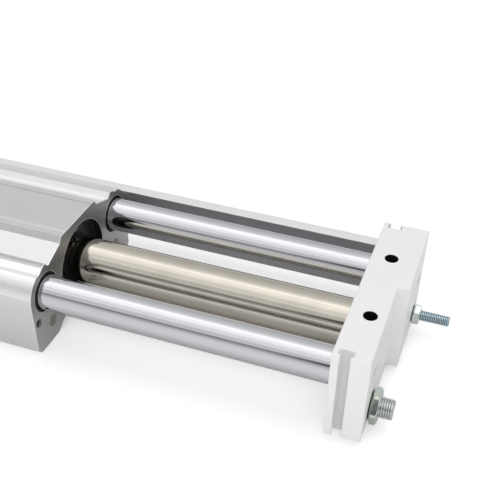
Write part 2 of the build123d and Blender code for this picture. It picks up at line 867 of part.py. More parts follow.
def write_carriage():
    """Slide block and everything that rides in it."""
    save(slide_block(), "slide_block")
    bush_r = shaft_d / 2 + bush_wall
    collar_bore = pack_bore / 2 - collar_wall
    bores = {"left": block_left, "right": block_right}
    for end_name, face in bores.items():
        inward = -ends[end_name]
        for side_name, side in sides.items():
            scraper_x = min(face, face + inward * scraper_length)
            scraper = ring(
                scraper_x,
                scraper_length,
                side * shaft_y,
                shaft_z,
                scraper_d / 2,
                shaft_d / 2 + scraper_gap,
            )
            save(scraper, f"shaft_scraper_{end_name}_{side_name}")
            seat = face + inward * scraper_length
            bush = ring(
                min(seat, seat + inward * bush_length),
                bush_length,
                side * shaft_y,
                shaft_z,
                bush_r,
                shaft_d / 2 + bush_gap,
            )
            save(bush, f"guide_bush_{end_name}_{side_name}")
        save(snap_ring(face, inward), f"snap_ring_{end_name}")
        front = face + inward * pack_face
        lip = front + inward * (collar_length - wear_length)
        collar = ring(
            min(front, front + inward * collar_length),
            collar_length,
            0,
            tube_z,
            pack_bore / 2,
            collar_bore,
        )
        save(collar, f"pack_collar_{end_name}")
        wiper = ring(
            min(front, lip),
            collar_length - wear_length,
            0,
            tube_z,
            collar_bore,
            tube_d / 2 + scraper_gap,
        )
        save(wiper, f"tube_scraper_{end_name}")
        wear = ring(
            min(lip, lip + inward * wear_length),
            wear_length,
            0,
            tube_z,
            collar_bore,
            tube_d / 2 + wear_gap,
        )
        save(wear, f"tube_wear_ring_{end_name}")
    save(strike_pads(), "strike_pads")
    save(pocket_screws(), "pocket_screws")
    save(sensor_magnet(), "sensor_magnet")
    magnets, yokes = magnet_pack(
        pack_bore / 2 - magnet_inset,
        tube_d / 2 + magnet_tube_gap,
        pack_bore / 2,
        tube_d / 2 + magnet_tube_gap,
    )
    for number, magnet in enumerate(magnets, 1):
        save(magnet, f"outer_magnet_{number}")
    save(yokes, "outer_yokes")


def write_piston():
    """Piston pack that the air drives and the outer magnets follow."""
    bore_r = piston_shaft_d / 2 + piston_shaft_slack
    pack_r = tube_bore / 2 - piston_gap
    magnets, yokes = magnet_pack(pack_r - piston_magnet_inset, bore_r, pack_r, bore_r)
    for number, magnet in enumerate(magnets, 1):
        save(magnet, f"inner_magnet_{number}")
    save(yokes, "inner_yokes")
    for name, end in ends.items():
        body, seal, wear = piston(end)
        save(body, f"piston_{name}")
        save(seal, f"piston_seal_{name}")
        save(wear, f"piston_wear_ring_{name}")
    save(piston_shaft(), "piston_shaft")
    save(piston_nuts(), "piston_nuts")


os.makedirs("parts", exist_ok=True)
write_frame()
write_adjusters()
write_carriage()
write_piston()
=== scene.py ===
"""Looks of a magnetically coupled rodless cylinder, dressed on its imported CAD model.

X runs along the travel and +Z is the side that the end plates are mounted by. Lengths are in
metres, in the frame of the CAD model.
"""

import json

import bmesh
import bpy
import numpy as np
from bpy.props import FloatProperty, FloatVectorProperty, IntProperty, PointerProperty
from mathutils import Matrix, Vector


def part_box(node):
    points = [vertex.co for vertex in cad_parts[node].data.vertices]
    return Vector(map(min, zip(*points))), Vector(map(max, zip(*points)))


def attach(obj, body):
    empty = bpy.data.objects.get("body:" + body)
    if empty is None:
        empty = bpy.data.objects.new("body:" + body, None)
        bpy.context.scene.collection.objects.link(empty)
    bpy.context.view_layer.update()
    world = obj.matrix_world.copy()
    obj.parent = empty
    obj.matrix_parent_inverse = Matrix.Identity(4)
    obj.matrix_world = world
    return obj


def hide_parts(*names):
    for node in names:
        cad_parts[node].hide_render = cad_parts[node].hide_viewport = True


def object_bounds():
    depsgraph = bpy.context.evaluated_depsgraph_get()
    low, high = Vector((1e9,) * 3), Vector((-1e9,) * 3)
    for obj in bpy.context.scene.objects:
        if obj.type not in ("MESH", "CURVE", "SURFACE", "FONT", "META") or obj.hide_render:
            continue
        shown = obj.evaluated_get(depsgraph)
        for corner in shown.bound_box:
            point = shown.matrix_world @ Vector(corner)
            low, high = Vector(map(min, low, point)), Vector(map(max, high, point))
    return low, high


bl_info = {
    "name": "Rodless cylinder looks",
    "version": (1, 0, 0),
    "blender": (4, 5, 0),
    "location": "View3D > Sidebar > Cylinder",
    "description": "Machined surfaces, threads and finishes for a rodless pneumatic cylinder",
    "category": "Object",
}

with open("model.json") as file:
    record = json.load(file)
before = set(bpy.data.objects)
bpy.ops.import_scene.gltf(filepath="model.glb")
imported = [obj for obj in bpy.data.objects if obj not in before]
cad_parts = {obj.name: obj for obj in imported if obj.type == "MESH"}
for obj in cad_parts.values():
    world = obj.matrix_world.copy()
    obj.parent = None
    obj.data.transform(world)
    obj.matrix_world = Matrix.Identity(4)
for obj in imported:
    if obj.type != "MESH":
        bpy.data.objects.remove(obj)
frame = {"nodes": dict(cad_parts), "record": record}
cad_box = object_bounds()
nodes = frame["nodes"]
slot_of = {part["node"]: part["material_slot"] for part in frame["record"]["subparts"]}
bodies = frame["record"]["behaviour"]["bodies"]
body_of = {name: body for body, names in bodies.items() for name in names}
ends = {"left": -1, "right": 1}
sides = ("near", "far")
finishes = {}
mask_room = 0.0001  # how far a mask reaches past the surface that it covers
thread_fall = 0.5  # depth of a thread over its pitch

# Painted light and shade across the slide block's drawn profile, for how light falls on each
# strip: from each place across it, in millimetres, up to the next one, the share of the block's
# colour that the surface keeps.
painted_profile_shading = (
    (-80, 0.84),  # side
    (-70, 1.0),  # shoulder
    (-52, 0.62),  # crest
    (-46.3, 0.76),  # riser
    (-45, 0.74),  # slope
    (-27, 0.85),  # bevel of the deck
    (-24.4, 0.765),  # deck
    (-19.9, 1.0),  # deck line
    (-18.1, 0.755),  # deck
    (18.1, 0.84),  # deck line
    (19.9, 0.755),  # deck
    (24.4, 0.85),  # bevel of the deck
    (27, 1.0),  # slope and riser
    (47.2, 0.84),  # crest
    (52, 0.88),  # shelf
    (70, 0.9),  # side
)

# Bands of light that metal mirrors: degrees from the front horizon up over the top to the back,
# and the level there.
mirrored_bands = (
    (-180, 0.5), (-2, 0.87), (9, 0.8), (17, 0.56), (23, 0.48), (27, 0.28), (32, 0.28),
    (36, 0.76), (41, 0.78), (45, 0.66), (50, 0.76), (56, 0.82), (60, 1.2), (63, 0.9),
    (70, 1.05), (76, 1.0), (79, 1.55), (82, 1.05), (86, 1.15), (89, 1.7), (92, 1.2),
    (97, 1.3), (101, 1.7), (111, 1.3), (117, 1.0), (122, 0.88), (133, 0.75), (150, 0.66),
    (161, 0.58), (180, 0.5),
)


# Sizes and colours


def colour(name, description, default):
    """Colour property in linear light."""
    return FloatVectorProperty(
        name=name, description=description, default=default, size=3, min=0, max=1, subtype="COLOR"
    )


def length(name, description, default):
    """Length property in metres."""
    return FloatProperty(
        name=name, description=description, default=default, min=0, precision=5, unit="LENGTH"
    )


def number(name, description, default, least=0):
    """Plain number property."""
    return FloatProperty(name=name, description=description, default=default, min=least)


class CylinderShape(bpy.types.PropertyGroup):
    """Sizes of the details that the CAD model leaves plain."""

    ring_steps: IntProperty(
        name="Steps round a ring", description="Faces round each turned piece", default=120, min=24
    )
    thread_steps: IntProperty(
        name="Steps round a thread", description="Faces round each thread", default=60, min=24
    )
    absorber_pitch: length("Absorber pitch", "Thread pitch of the shock absorbers", 0.0015)
    bolt_pitch: length("Bolt pitch", "Thread pitch of the adjusting bolts", 0.00125)
    absorber_socket: length("Absorber socket", "Socket width in a shock absorber's end", 0.005)
    bolt_socket: length("Bolt socket", "Socket width in an adjusting bolt's end", 0.004)
    socket_depth: length("Socket depth", "Depth of the adjusters' sockets", 0.0035)
    end_chamfer: length("End chamfer", "Chamfer at both ends of an adjuster", 0.001)
    shaft_chamfer: length("Shaft chamfer", "Chamfer at both ends of a guide shaft", 0.001)
    shaft_tap: length("Shaft tapping", "Radius of the tapped holes in the shaft ends", 0.004)
    near_tap_depth: length("Near tapping", "Depth of the tapped holes in the near shaft", 0.0235)
    far_tap_depth: length("Far tapping", "Depth of the tapped holes in the far shaft", 0.0255)
    near_screw: length("Near screws", "Whole length of the near shaft's screws", 0.033)
    far_screw: length("Far screws", "Whole length of the far shaft's screws", 0.043)
    plate_step: length("Step", "Height of the step in the plates' outer faces", 0.008)
    tube_wall: length("Tube wall", "Wall of the cylinder tube", 0.0011)
    rod_radius: length("Rod radius", "Radius of the shock absorbers' rods", 0.002)
    rod_bore: length("Rod bore", "Radius of the bore for a shock absorber's rod", 0.00205)
    rod_bore_depth: length("Rod bore depth", "Depth of the bore for the rod", 0.019)
    cap_grip: length("Cap socket", "Depth of the rod in a shock absorber's cap", 0.002)
    cap_edge: length("Cap edge", "Round on the edge of a shock absorber's cap", 0.001)
    lip: length("Seal lip", "Width of the wiping lip of a scraper", 0.0007)
    nut_collar: length("Nut collar", "Height of the round collar under a lock nut", 0.0009)
    slot_place: length("Slot place", "From a plate's inner face to its T-slots", 0.0083)
    slot_neck: length("Slot neck", "Width of the T-slots' mouths", 0.0068)
    slot_depth: length("Slot depth", "Depth of the T-slots", 0.0064)
    knurl: length("Knurl", "Depth of the knurl on the screw heads", 0.00012)


class CylinderFinish(bpy.types.PropertyGroup):
    """Colours of the surfaces, as the record's material slots name them."""

    plate: colour("Plates", "Clear anodised end plates", (0.90, 0.90, 0.895))
    rail: colour("Rail", "Sensor rail", (0.56, 0.57, 0.585))
    # Painted highlight on the rail's upper edge.
    rail_top_highlight: colour("Rail top", "Upper edge of the sensor rail", (0.93, 0.93, 0.93))
    block: colour("Slide block", "Drawn and anodised slide block", (0.93, 0.93, 0.93))
    # Milled end faces: partly their own milled tone, partly painted shade.
    milled: colour("Milled ends", "Milled end faces of the slide block", (0.29, 0.288, 0.284))
    # Painted light: the lower part of the end faces is lighter than the rest.
    milled_foot: colour("Milled feet", "Lower part of the milled end faces", (0.62, 0.62, 0.615))
    # Painted shade on the walls of the main bore.
    bore_shade: colour("Bored walls", "Walls of the slide block's main bore", (0.07, 0.068, 0.062))
    # Painted highlight on the cut bevels, along the plates' edges and round the mounting holes.
    bright: colour("Bevels", "Cut bevels and edges", (0.88, 0.88, 0.88))
    # Painted highlight round the rims of the slide block's bores.
    rim: colour("Rims", "Rims of the slide block's bores", (0.66, 0.66, 0.65))
    # Painted shade on the walls of deep narrow holes.
    shade: colour("Deep holes", "Walls of deep narrow holes", (0.012, 0.012, 0.012))
    chrome: colour("Shafts", "Hard chrome of the guide shafts", (0.67, 0.675, 0.705))
    tube: colour("Tube", "Drawn stainless steel of the tube", (0.62, 0.585, 0.51))
    zinc: colour("Zinc", "Zinc plating of nuts and absorbers", (0.7, 0.74, 0.715))
    blue_zinc: colour("Blue zinc", "Bluish zinc plating of the adjusting bolts", (0.74, 0.85, 0.95))
    bright_zinc: colour("Bright zinc", "Zinc plating of the bolts' nuts", (0.85, 0.87, 0.88))
    black: colour("Blackened steel", "Screws", (0.035, 0.035, 0.038))
    pad: colour("Pads", "Hardened strike pads", (0.36, 0.345, 0.31))
    nickel: colour("Magnets", "Nickel plated magnets", (0.68, 0.67, 0.64))
    yoke: colour("Yokes", "Bare steel yokes", (0.36, 0.36, 0.37))
    spring: colour("Snap rings", "Phosphated spring steel", (0.16, 0.16, 0.17))
    bronze: colour("Bushes", "Bearing bronze", (0.56, 0.42, 0.24))
    rubber: colour("Seals", "Nitrile rubber", (0.018, 0.018, 0.02))
    resin: colour("Resin", "Filled resin of wear rings and caps", (0.05, 0.05, 0.055))
    floor: colour("Floor", "Pale studio floor", (0.90, 0.90, 0.90))


class CylinderLight(bpy.types.PropertyGroup):
    """Lamps and surroundings."""

    fill: number("Fill", "Even light from all round", 0.55)
    key: number("Key", "Power of the large lamp above, in watts", 4.9)
    front: number("Front", "Power of the lamp in front, in watts", 6.0)
    lens: number("Lens", "Focal length of the camera", 60.033, 10)


# Surfaces


def circle(columns):
    """Angles round a ring, one for each column."""
    return np.linspace(0, 2 * np.pi, columns, endpoint=False)


def turned(rows, centre, columns, axis=0):
    """Grid of rings round an axis.

    Each row is a pair: how far along the axis the ring lies, and its radius. Either may be an
    array that changes round the ring. At angle a the point is radius * sin a off the centre along
    the next axis and radius * cos a along the one after that.
    """
    angle = circle(columns)
    along = np.array([np.broadcast_to(row[0], columns) for row in rows])
    radius = np.array([np.broadcast_to(row[1], columns) for row in rows])
    second, third = (axis + 1) % 3, (axis + 2) % 3
    points = np.empty(along.shape + (3,))
    points[..., axis] = along
    points[..., second] = centre[second] + radius * np.sin(angle)
    points[..., third] = centre[third] + radius * np.cos(angle)
    return points


def hexagon(apothem, angle, corner=0.0):
    """Distance from the axis to a hexagon's side: the apothem over the cosine of the angle from
    the middle of that side. A corner lies at the angle corner."""
    return apothem / np.cos(np.mod(angle - corner, np.pi / 3) - np.pi / 6)


def thread_rows(start, end, radius, pitch, chamfer, columns):
    """Rows of a right-hand screw thread.

    The phase is the distance along the axis over the pitch, plus the share of a full turn. The
    radius falls from the crest to the root by 0.5 pitches in straight flanks, with a flat of a
    fifth of a pitch at the crest and at the root, and is cut by a cone at both ends.
    """
    flat, flank, rows_per_pitch = 0.2, 0.6, 10
    count = int(abs(end - start) / pitch * rows_per_pitch) + 2
    along = np.linspace(start, end, count)[:, None]
    phase = np.mod(along / pitch + circle(columns)[None, :] / (2 * np.pi), 1)
    fall = np.clip((np.abs(phase - 0.5) * 2 - flat) / flank, 0, 1)
    inside = np.minimum(np.abs(along - start), np.abs(end - along))
    cone = radius - np.maximum(0, chamfer - inside)
    depth = np.minimum(radius - thread_fall * pitch * fall, cone)
    return list(zip(np.broadcast_to(along, depth.shape), depth))


def socket_rows(end, out, socket, mouth, lead, depth, drill):
    """Rows of a hexagon socket that opens towards out: a mouth wider by the factor mouth, narrowed
    over the length lead, straight walls down to the depth, and a cone of the height drill."""
    return [
        (end, socket * mouth),
        (end - out * lead, socket),
        (end - out * depth, socket),
        (end - out * (depth + drill), 0),
    ]


def add_object(name, data):
    """New object in the scene."""
    made = bpy.data.objects.new(name, data)
    bpy.context.scene.collection.objects.link(made)
    return made


def make_piece(name, shells, node, finish=None, sharp=35):
    """Mesh object from grids of points, each closed round its columns.

    A grid's quad joins a point to the next along its row, its column and both. Doubled points at
    the poles are merged and the faces turned outwards. The piece stands for its CAD node, and has
    the finish of the node's slot where no other is named.
    """
    doubled = 1e-7
    corners, quads, start = [], [], 0
    for points, closed in shells:
        rows, columns = points.shape[:2]
        index = start + np.arange(rows * columns).reshape(rows, columns)
        index = np.hstack([index, index[:, :1]])
        if closed:
            index = np.vstack([index, index[:1]])
        quad = np.stack([index[:-1, :-1], index[1:, :-1], index[1:, 1:], index[:-1, 1:]], axis=-1)
        corners.append(points.reshape(-1, 3))
        quads.append(quad.reshape(-1, 4))
        start += rows * columns
    mesh = bpy.data.meshes.new(name)
    mesh.from_pydata(np.concatenate(corners).tolist(), [], np.concatenate(quads).tolist())
    shape = bmesh.new()
    shape.from_mesh(mesh)
    bmesh.ops.remove_doubles(shape, verts=shape.verts, dist=doubled)
    bmesh.ops.recalc_face_normals(shape, faces=shape.faces)
    shape.to_mesh(mesh)
    shape.free()
    mesh.shade_smooth()
    mesh.set_sharp_from_angle(angle=np.radians(sharp))
    mesh.materials.append(material_named(finish or slot_of[node]))
    piece = add_object(name, mesh)
    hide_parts(node)
    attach(piece, body_of[node])
    return piece


def turn_piece(name, node, rows, centre, columns, closed=False, finish=None, sharp=35):
    """Piece of one turned surface. Where it is closed, the last row joins the first one."""
    return make_piece(name, [(turned(rows, centre, columns), closed)], node, finish, sharp)


def mesh_points(mesh):
    """Points of a mesh, one row each."""
    points = np.empty(len(mesh.vertices) * 3)
    mesh.vertices.foreach_get("co", points)
    return points.reshape(-1, 3)


def off_axis(points, centre):
    """Y and Z of points, taken from a centre."""
    return points[:, 1:] - np.array([centre[1], centre[2]])


def mark_shade(piece, depth):
    """Attribute painted_shade on a piece: the share of painted shade at each point, from 0 to 1."""
    layer = piece.data.attributes.new("painted_shade", "FLOAT", "POINT")
    layer.data.foreach_set("value", np.clip(depth, 0, 1))


def mark_roots(piece, centre, radius, pitch):
    """Painted shade on a thread by how far a point lies under the crest, over the depth of the
    thread.
    The end faces and the sockets lie deeper than the roots and get none."""
    past_root = 1.02
    off = off_axis(mesh_points(piece.data), centre)
    depth = (radius - np.sqrt((off**2).sum(axis=1))) / (thread_fall * pitch)
    depth[depth > past_root] = 0
    mark_shade(piece, depth)


def extent(node, out=1):
    """Centre and radius of a turned CAD node along X, and its two ends. Where out is -1 the upper
    end comes first, so on both sides the first end is the one nearer the middle."""
    low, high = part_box(node)
    first, last = (low.x, high.x)[::out]
    return (low + high) / 2, (high.y - low.y) / 2, first, last


def far_corner(node):
    """Angle of the corner of a nut that lies farthest from its axis, and its distance."""
    off = off_axis(mesh_points(nodes[node].data), extent(node)[0])
    squares = (off**2).sum(axis=1)
    far = off[np.argmax(squares)]
    return np.arctan2(far[0], far[1]), float(np.sqrt(squares.max()))


# Shader groups


def new_group(name, inputs, outputs=("Mask",)):
    """Empty shader group with a vector input and others by name and default. A default of three
    numbers is a vector, one of four a colour. Gives the group, its inputs and its outputs."""
    kinds = {1: "NodeSocketFloat", 3: "NodeSocketVector", 4: "NodeSocketColor"}
    group = bpy.data.node_groups.new(name, "ShaderNodeTree")
    add = group.interface.new_socket
    add(name="Vector", in_out="INPUT", socket_type=kinds[3])
    for label, default in inputs.items():
        socket = add(name=label, in_out="INPUT", socket_type=kinds[np.size(default)])
        socket.default_value = default
    for label in outputs:
        add(name=label, in_out="OUTPUT", socket_type=kinds[4 if label == "Color" else 1])
    given, out = group.nodes.new("NodeGroupInput"), group.nodes.new("NodeGroupOutput")
    return group, given.outputs, out.inputs


def give(tree, socket, value):
    """Link a socket to an input, or set the input to a plain value."""
    if isinstance(value, bpy.types.NodeSocket):
        tree.links.new(value, socket)
    else:
        socket.default_value = value


def math(tree, operation, first, second=0.0, third=0.0, clamp=False):
    """Math node; each value is a number or a socket. Gives its output socket."""
    node = tree.nodes.new("ShaderNodeMath")
    node.operation = operation
    node.use_clamp = clamp
    for socket, value in zip(node.inputs, (first, second, third)):
        give(tree, socket, value)
    return node.outputs[0]


def vector_math(tree, operation, first, second=None):
    """Vector math node; each value is a vector, a number or a socket. Gives its outputs."""
    node = tree.nodes.new("ShaderNodeVectorMath")
    node.operation = operation
    give(tree, node.inputs[0], first)
    if second is not None:
        give(tree, node.inputs["Scale" if operation == "SCALE" else 1], second)
    return node.outputs


def split(tree, vector):
    """The X, Y and Z parts of a vector."""
    node = tree.nodes.new("ShaderNodeSeparateXYZ")
    tree.links.new(vector, node.inputs[0])
    return node.outputs


def noise(tree, vector, scale, detail, roughness=0.55, distortion=0.0):
    """Noise texture on a vector. Gives its value, from 0 to 1."""
    node = tree.nodes.new("ShaderNodeTexNoise")
    labels = ("Vector", "Scale", "Detail", "Roughness", "Distortion")
    for label, value in zip(labels, (vector, scale, detail, roughness, distortion)):
        give(tree, node.inputs[label], value)
    return node.outputs["Fac"]


def stretch(tree, vector, factors):
    """Vector multiplied by a vector."""
    return vector_math(tree, "MULTIPLY", vector, factors)[0]


def brightened(tree, colour_in, factor):
    """Colour multiplied by a value."""
    return vector_math(tree, "SCALE", colour_in, factor)[0]


def blend(tree, share, first, second):
    """Colour between two colours; share, first and second are values or sockets."""
    node = tree.nodes.new("ShaderNodeMix")
    node.data_type = "RGBA"
    inputs = {socket.identifier: socket for socket in node.inputs}
    for label, value in (("Factor_Float", share), ("A_Color", first), ("B_Color", second)):
        give(tree, inputs[label], value)
    return next(s for s in node.outputs if s.identifier == "Result_Color")


def ray_kinds(tree):
    """Whether a ray comes from the camera, and whether it is mirrored or passes through."""
    path = tree.nodes.new("ShaderNodeLightPath").outputs
    mirrored = math(tree, "MAXIMUM", path["Is Glossy Ray"], path["Is Transmission Ray"])
    return path["Is Camera Ray"], mirrored


def make_ramp(tree, place, stops, interpolation="LINEAR"):
    """Colour of a grey ramp at a place, from stops: each a position from 0 to 1 and a level."""
    node = tree.nodes.new("ShaderNodeValToRGB")
    node.color_ramp.interpolation = interpolation
    tree.links.new(place, node.inputs["Fac"])
    bands = node.color_ramp.elements
    while len(bands) < len(stops):
        bands.new(0.5)
    for band, (position, level) in zip(bands, stops):
        band.position = position
        band.color = (level, level, level, 1.0)
    return node.outputs["Color"]


def build_tool_marks():
    """Lines or grain left by machining: noise stretched across the marks, over a slow mottle."""
    group, given, out = new_group(
        "Tool marks",
        {
            "Stretch": (1.0, 1.0, 1.0),
            "Color": (0.8, 0.8, 0.8, 1.0),
            "Color change": 0.05,
            "Roughness": 0.3,
            "Roughness change": 0.1,
            "Mottle scale": 60.0,
        },
        ("Color", "Roughness", "Height"),
    )
    marks = noise(group, stretch(group, given["Vector"], given["Stretch"]), 1.0, 6.0)
    slow = noise(group, given["Vector"], given["Mottle scale"], 3.0, 0.5)
    off_middle = [math(group, "SUBTRACT", value, 0.5) for value in (marks, slow)]
    both = math(group, "ADD", *off_middle)
    factor = math(group, "MULTIPLY_ADD", both, given["Color change"], 1.0)
    change, plain = given["Roughness change"], given["Roughness"]
    rough = math(group, "MULTIPLY_ADD", both, change, plain, clamp=True)
    group.links.new(brightened(group, given["Color"], factor), out["Color"])
    group.links.new(rough, out["Roughness"])
    group.links.new(marks, out["Height"])
    return group


def build_handling():
    """Faint smudges: a share from 0 to 1 where slow noise is high."""
    contrast, start = 3.2, -1.35
    group, given, out = new_group("Handling", {"Scale": 25.0})
    slow = noise(group, given["Vector"], given["Scale"], 5.0, 0.5, 0.6)
    mask = math(group, "MULTIPLY_ADD", slow, contrast, start, clamp=True)
    group.links.new(mask, out["Mask"])
    return group


def build_box_edges():
    """Share from 0 to 1 near the edges of an upright box: the middle one of the three distances
    to its faces, over the width of the edge."""
    group, given, out = new_group(
        "Box edges",
        {"Centre": (0.0, 0.0, 0.0), "Half size": (1.0, 1.0, 1.0), "Width": 0.0005},
    )
    off = vector_math(group, "SUBTRACT", given["Vector"], given["Centre"])[0]
    size = vector_math(group, "ABSOLUTE", off)[0]
    x, y, z = split(group, vector_math(group, "SUBTRACT", given["Half size"], size)[0])
    larger = math(group, "MINIMUM", math(group, "MAXIMUM", x, y), z)
    middle = math(group, "MAXIMUM", math(group, "MINIMUM", x, y), larger)
    share = math(group, "DIVIDE", middle, given["Width"])
    group.links.new(math(group, "SUBTRACT", 1.0, share, clamp=True), out["Mask"])
    return group


def build_round_marks():
    """Share that is 1 nearer than a radius to an axis and 0 further off, over a soft edge. The
    object's far side counts as its near side, because the distance uses positive X and Y."""
    group, given, out = new_group(
        "Round marks",
        {
            "Centre": (0.0, 0.0, 0.0),
            "Square to": (0.0, 1.0, 1.0),
            "Radius": 0.01,
            "Softness": 0.0001,
        },
    )
    x, y, z = split(group, given["Vector"])
    folded = group.nodes.new("ShaderNodeCombineXYZ")
    parts = (math(group, "ABSOLUTE", x), math(group, "ABSOLUTE", y), z)
    for socket, part in zip(folded.inputs, parts):
        group.links.new(part, socket)
    off = vector_math(group, "SUBTRACT", folded.outputs[0], given["Centre"])[0]
    across = stretch(group, off, given["Square to"])
    distance = vector_math(group, "LENGTH", across)["Value"]
    gap = math(group, "SUBTRACT", given["Radius"], distance)
    share = math(group, "DIVIDE", gap, given["Softness"])
    group.links.new(math(group, "ADD", share, 0.5, clamp=True), out["Mask"])
    return group


def shader_group(name):
    """A shader group by its name, built on its first use."""
    makers = {
        "Tool marks": build_tool_marks,
        "Handling": build_handling,
        "Box edges": build_box_edges,
        "Round marks": build_round_marks,
    }
    return bpy.data.node_groups.get(name) or makers[name]()


# Materials


class Finish:
    """A material with its Principled shader and its object coordinates."""

    def __init__(self, name, metallic):
        self.material = bpy.data.materials.new(f"{name}_finish")
        self.material.use_nodes = True
        self.tree = self.material.node_tree
        self.shader = self.tree.nodes["Principled BSDF"]
        self.shader.inputs["Metallic"].default_value = metallic
        self.where = self.tree.nodes.new("ShaderNodeTexCoord").outputs["Object"]

    def group(self, name, **values):
        """Outputs of a group node with the given values, fed with the object coordinates."""
        node = self.tree.nodes.new("ShaderNodeGroup")
        node.node_tree = shader_group(name)
        self.tree.links.new(self.where, node.inputs["Vector"])
        for label, value in values.items():
            node.inputs[label.replace("_", " ")].default_value = value
        return node.outputs

    def tool_marks(self, base, marks, rough, change, tone, mottle):
        """Outputs of the group Tool marks for a colour."""
        return self.group(
            "Tool marks",
            Stretch=marks,
            Color=rgba(base),
            Color_change=tone,
            Roughness=rough,
            Roughness_change=change,
            Mottle_scale=mottle,
        )

    def feed(self, label, socket):
        """Link a socket to an input of the shader."""
        self.tree.links.new(socket, self.shader.inputs[label])

    def fed(self, label):
        """Socket that feeds an input of the shader."""
        return self.shader.inputs[label].links[0].from_socket

    def bump(self, height, strength, distance):
        """Small relief from a height."""
        node = self.tree.nodes.new("ShaderNodeBump")
        node.inputs["Strength"].default_value = strength
        node.inputs["Distance"].default_value = distance
        self.tree.links.new(height, node.inputs["Height"])
        self.feed("Normal", node.outputs["Normal"])


def rgba(value):
    """Colour property as four numbers."""
    return (*value, 1.0)


def metal(name, base, marks, rough, change, metallic=1.0, tone=0.05, relief=0.2, mottle=60.0):
    """Metal with tool marks, faint smudges and a little relief."""
    smudge_roughness, height = 0.05, 0.00002
    finish = Finish(name, metallic)
    marked = finish.tool_marks(base, marks, rough, change, tone, mottle)
    smudge = finish.group("Handling", Scale=22.0)["Mask"]
    rougher = math(finish.tree, "MULTIPLY_ADD", smudge, smudge_roughness, marked["Roughness"])
    finish.feed("Base Color", marked["Color"])
    finish.feed("Roughness", rougher)
    finish.bump(marked["Height"], relief, height)
    return finish


def edge_lit(finish, source, node, width, light):
    """Colour with a painted highlight along the edges of a CAD node's box."""
    low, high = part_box(node)
    edges = finish.group(
        "Box edges", Centre=(low + high) / 2, Half_size=(high - low) / 2, Width=width
    )
    return blend(finish.tree, edges["Mask"], source, rgba(light))


def round_mask(finish, centre, radius, square_to=(0.0, 1.0, 1.0)):
    """Share inside a radius round an axis, on both sides of the object."""
    marks = finish.group("Round marks", Centre=centre, Radius=radius, Square_to=square_to)
    return marks["Mask"]


def block_bores():
    """Centre and radius of the slide block's main bore, scraper seats, pads and pockets."""
    bores = []
    for node, solids in (
        ("pack_collar_right", 1),
        ("shaft_scraper_right_far", 1),
        ("strike_pads", 2),
        ("pocket_screws", 2),
    ):
        low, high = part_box(node)
        radius = (high.z - low.z) / 2
        across = high.y - radius if solids == 2 else (low.y + high.y) / 2
        bores.append(((0.0, across, (low.z + high.z) / 2), radius))
    return bores


def block_finish(colours):
    """Slide block: drawn lines along the travel, milled end faces, painted highlights on the bevels
    and rims, and painted shade on the walls of the main bore.

    Its painted_profile_shading is painted light and shade. The milled end faces are darkened in
    part by painted shade, and the blend from milled to milled_foot is painted light, a share of
    foot_slope * z + foot_start: 0 at 18 mm under the mounting face, 1 at 40 mm.
    """
    foot_slope, foot_start = -45.5, -0.82
    face_depth, bevel_width, rim_width, wall_room = 0.00005, 0.0006, 0.0005, 0.0003
    tones_width = 160  # millimetres of the profile on the whole ramp
    low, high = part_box("slide_block")
    finish = metal(
        "block_anodised", colours.block, (8.0, 900.0, 900.0), 0.36, 0.12, 0.9, 0.06, 0.25
    )
    tree = finish.tree
    drawn, rough = finish.fed("Base Color"), finish.fed("Roughness")
    x, y, z = split(tree, finish.where)
    off = math(tree, "ABSOLUTE", math(tree, "SUBTRACT", x, (low.x + high.x) / 2))
    inset = math(tree, "SUBTRACT", (high.x - low.x) / 2, off)
    end_face = math(tree, "LESS_THAN", inset, face_depth)
    bevel = math(tree, "LESS_THAN", inset, bevel_width)
    milled = finish.tool_marks(colours.milled, (1.0, 1500.0, 260.0), 0.46, 0.1, 0.1, 90.0)
    # Painted light: the end faces turn lighter towards their feet.
    foot = math(tree, "MULTIPLY_ADD", z, foot_slope, foot_start, clamp=True)
    foot_tone = brightened(tree, milled["Color"], colours.milled_foot[0] / colours.milled[0])
    ends_colour = blend(tree, foot, milled["Color"], foot_tone)
    bores = block_bores()
    # Painted highlight round the rim of each bore on the end faces.
    for centre, radius in bores:
        rim = round_mask(finish, centre, radius + rim_width)
        ends_colour = blend(tree, rim, ends_colour, rgba(colours.rim))
    # Painted light and shade: each strip across the profile keeps its share of the block's colour.
    across = math(tree, "MULTIPLY_ADD", y, 1000 / tones_width, 0.5)
    stops = [(place / tones_width + 0.5, share) for place, share in painted_profile_shading]
    drawn = stretch(tree, drawn, make_ramp(tree, across, stops, "CONSTANT"))
    # Painted highlight on the bevel round each end face.
    outside = blend(tree, bevel, drawn, rgba(colours.bright))
    # Painted shade on the walls of the main bore.
    bore_shade = round_mask(finish, bores[0][0], bores[0][1] + wall_room)
    outside = blend(tree, bore_shade, outside, rgba(colours.bore_shade))
    finish.feed("Base Color", blend(tree, end_face, outside, ends_colour))
    span = math(tree, "SUBTRACT", milled["Roughness"], rough)
    finish.feed("Roughness", math(tree, "MULTIPLY_ADD", span, end_face, rough))
    return finish.material


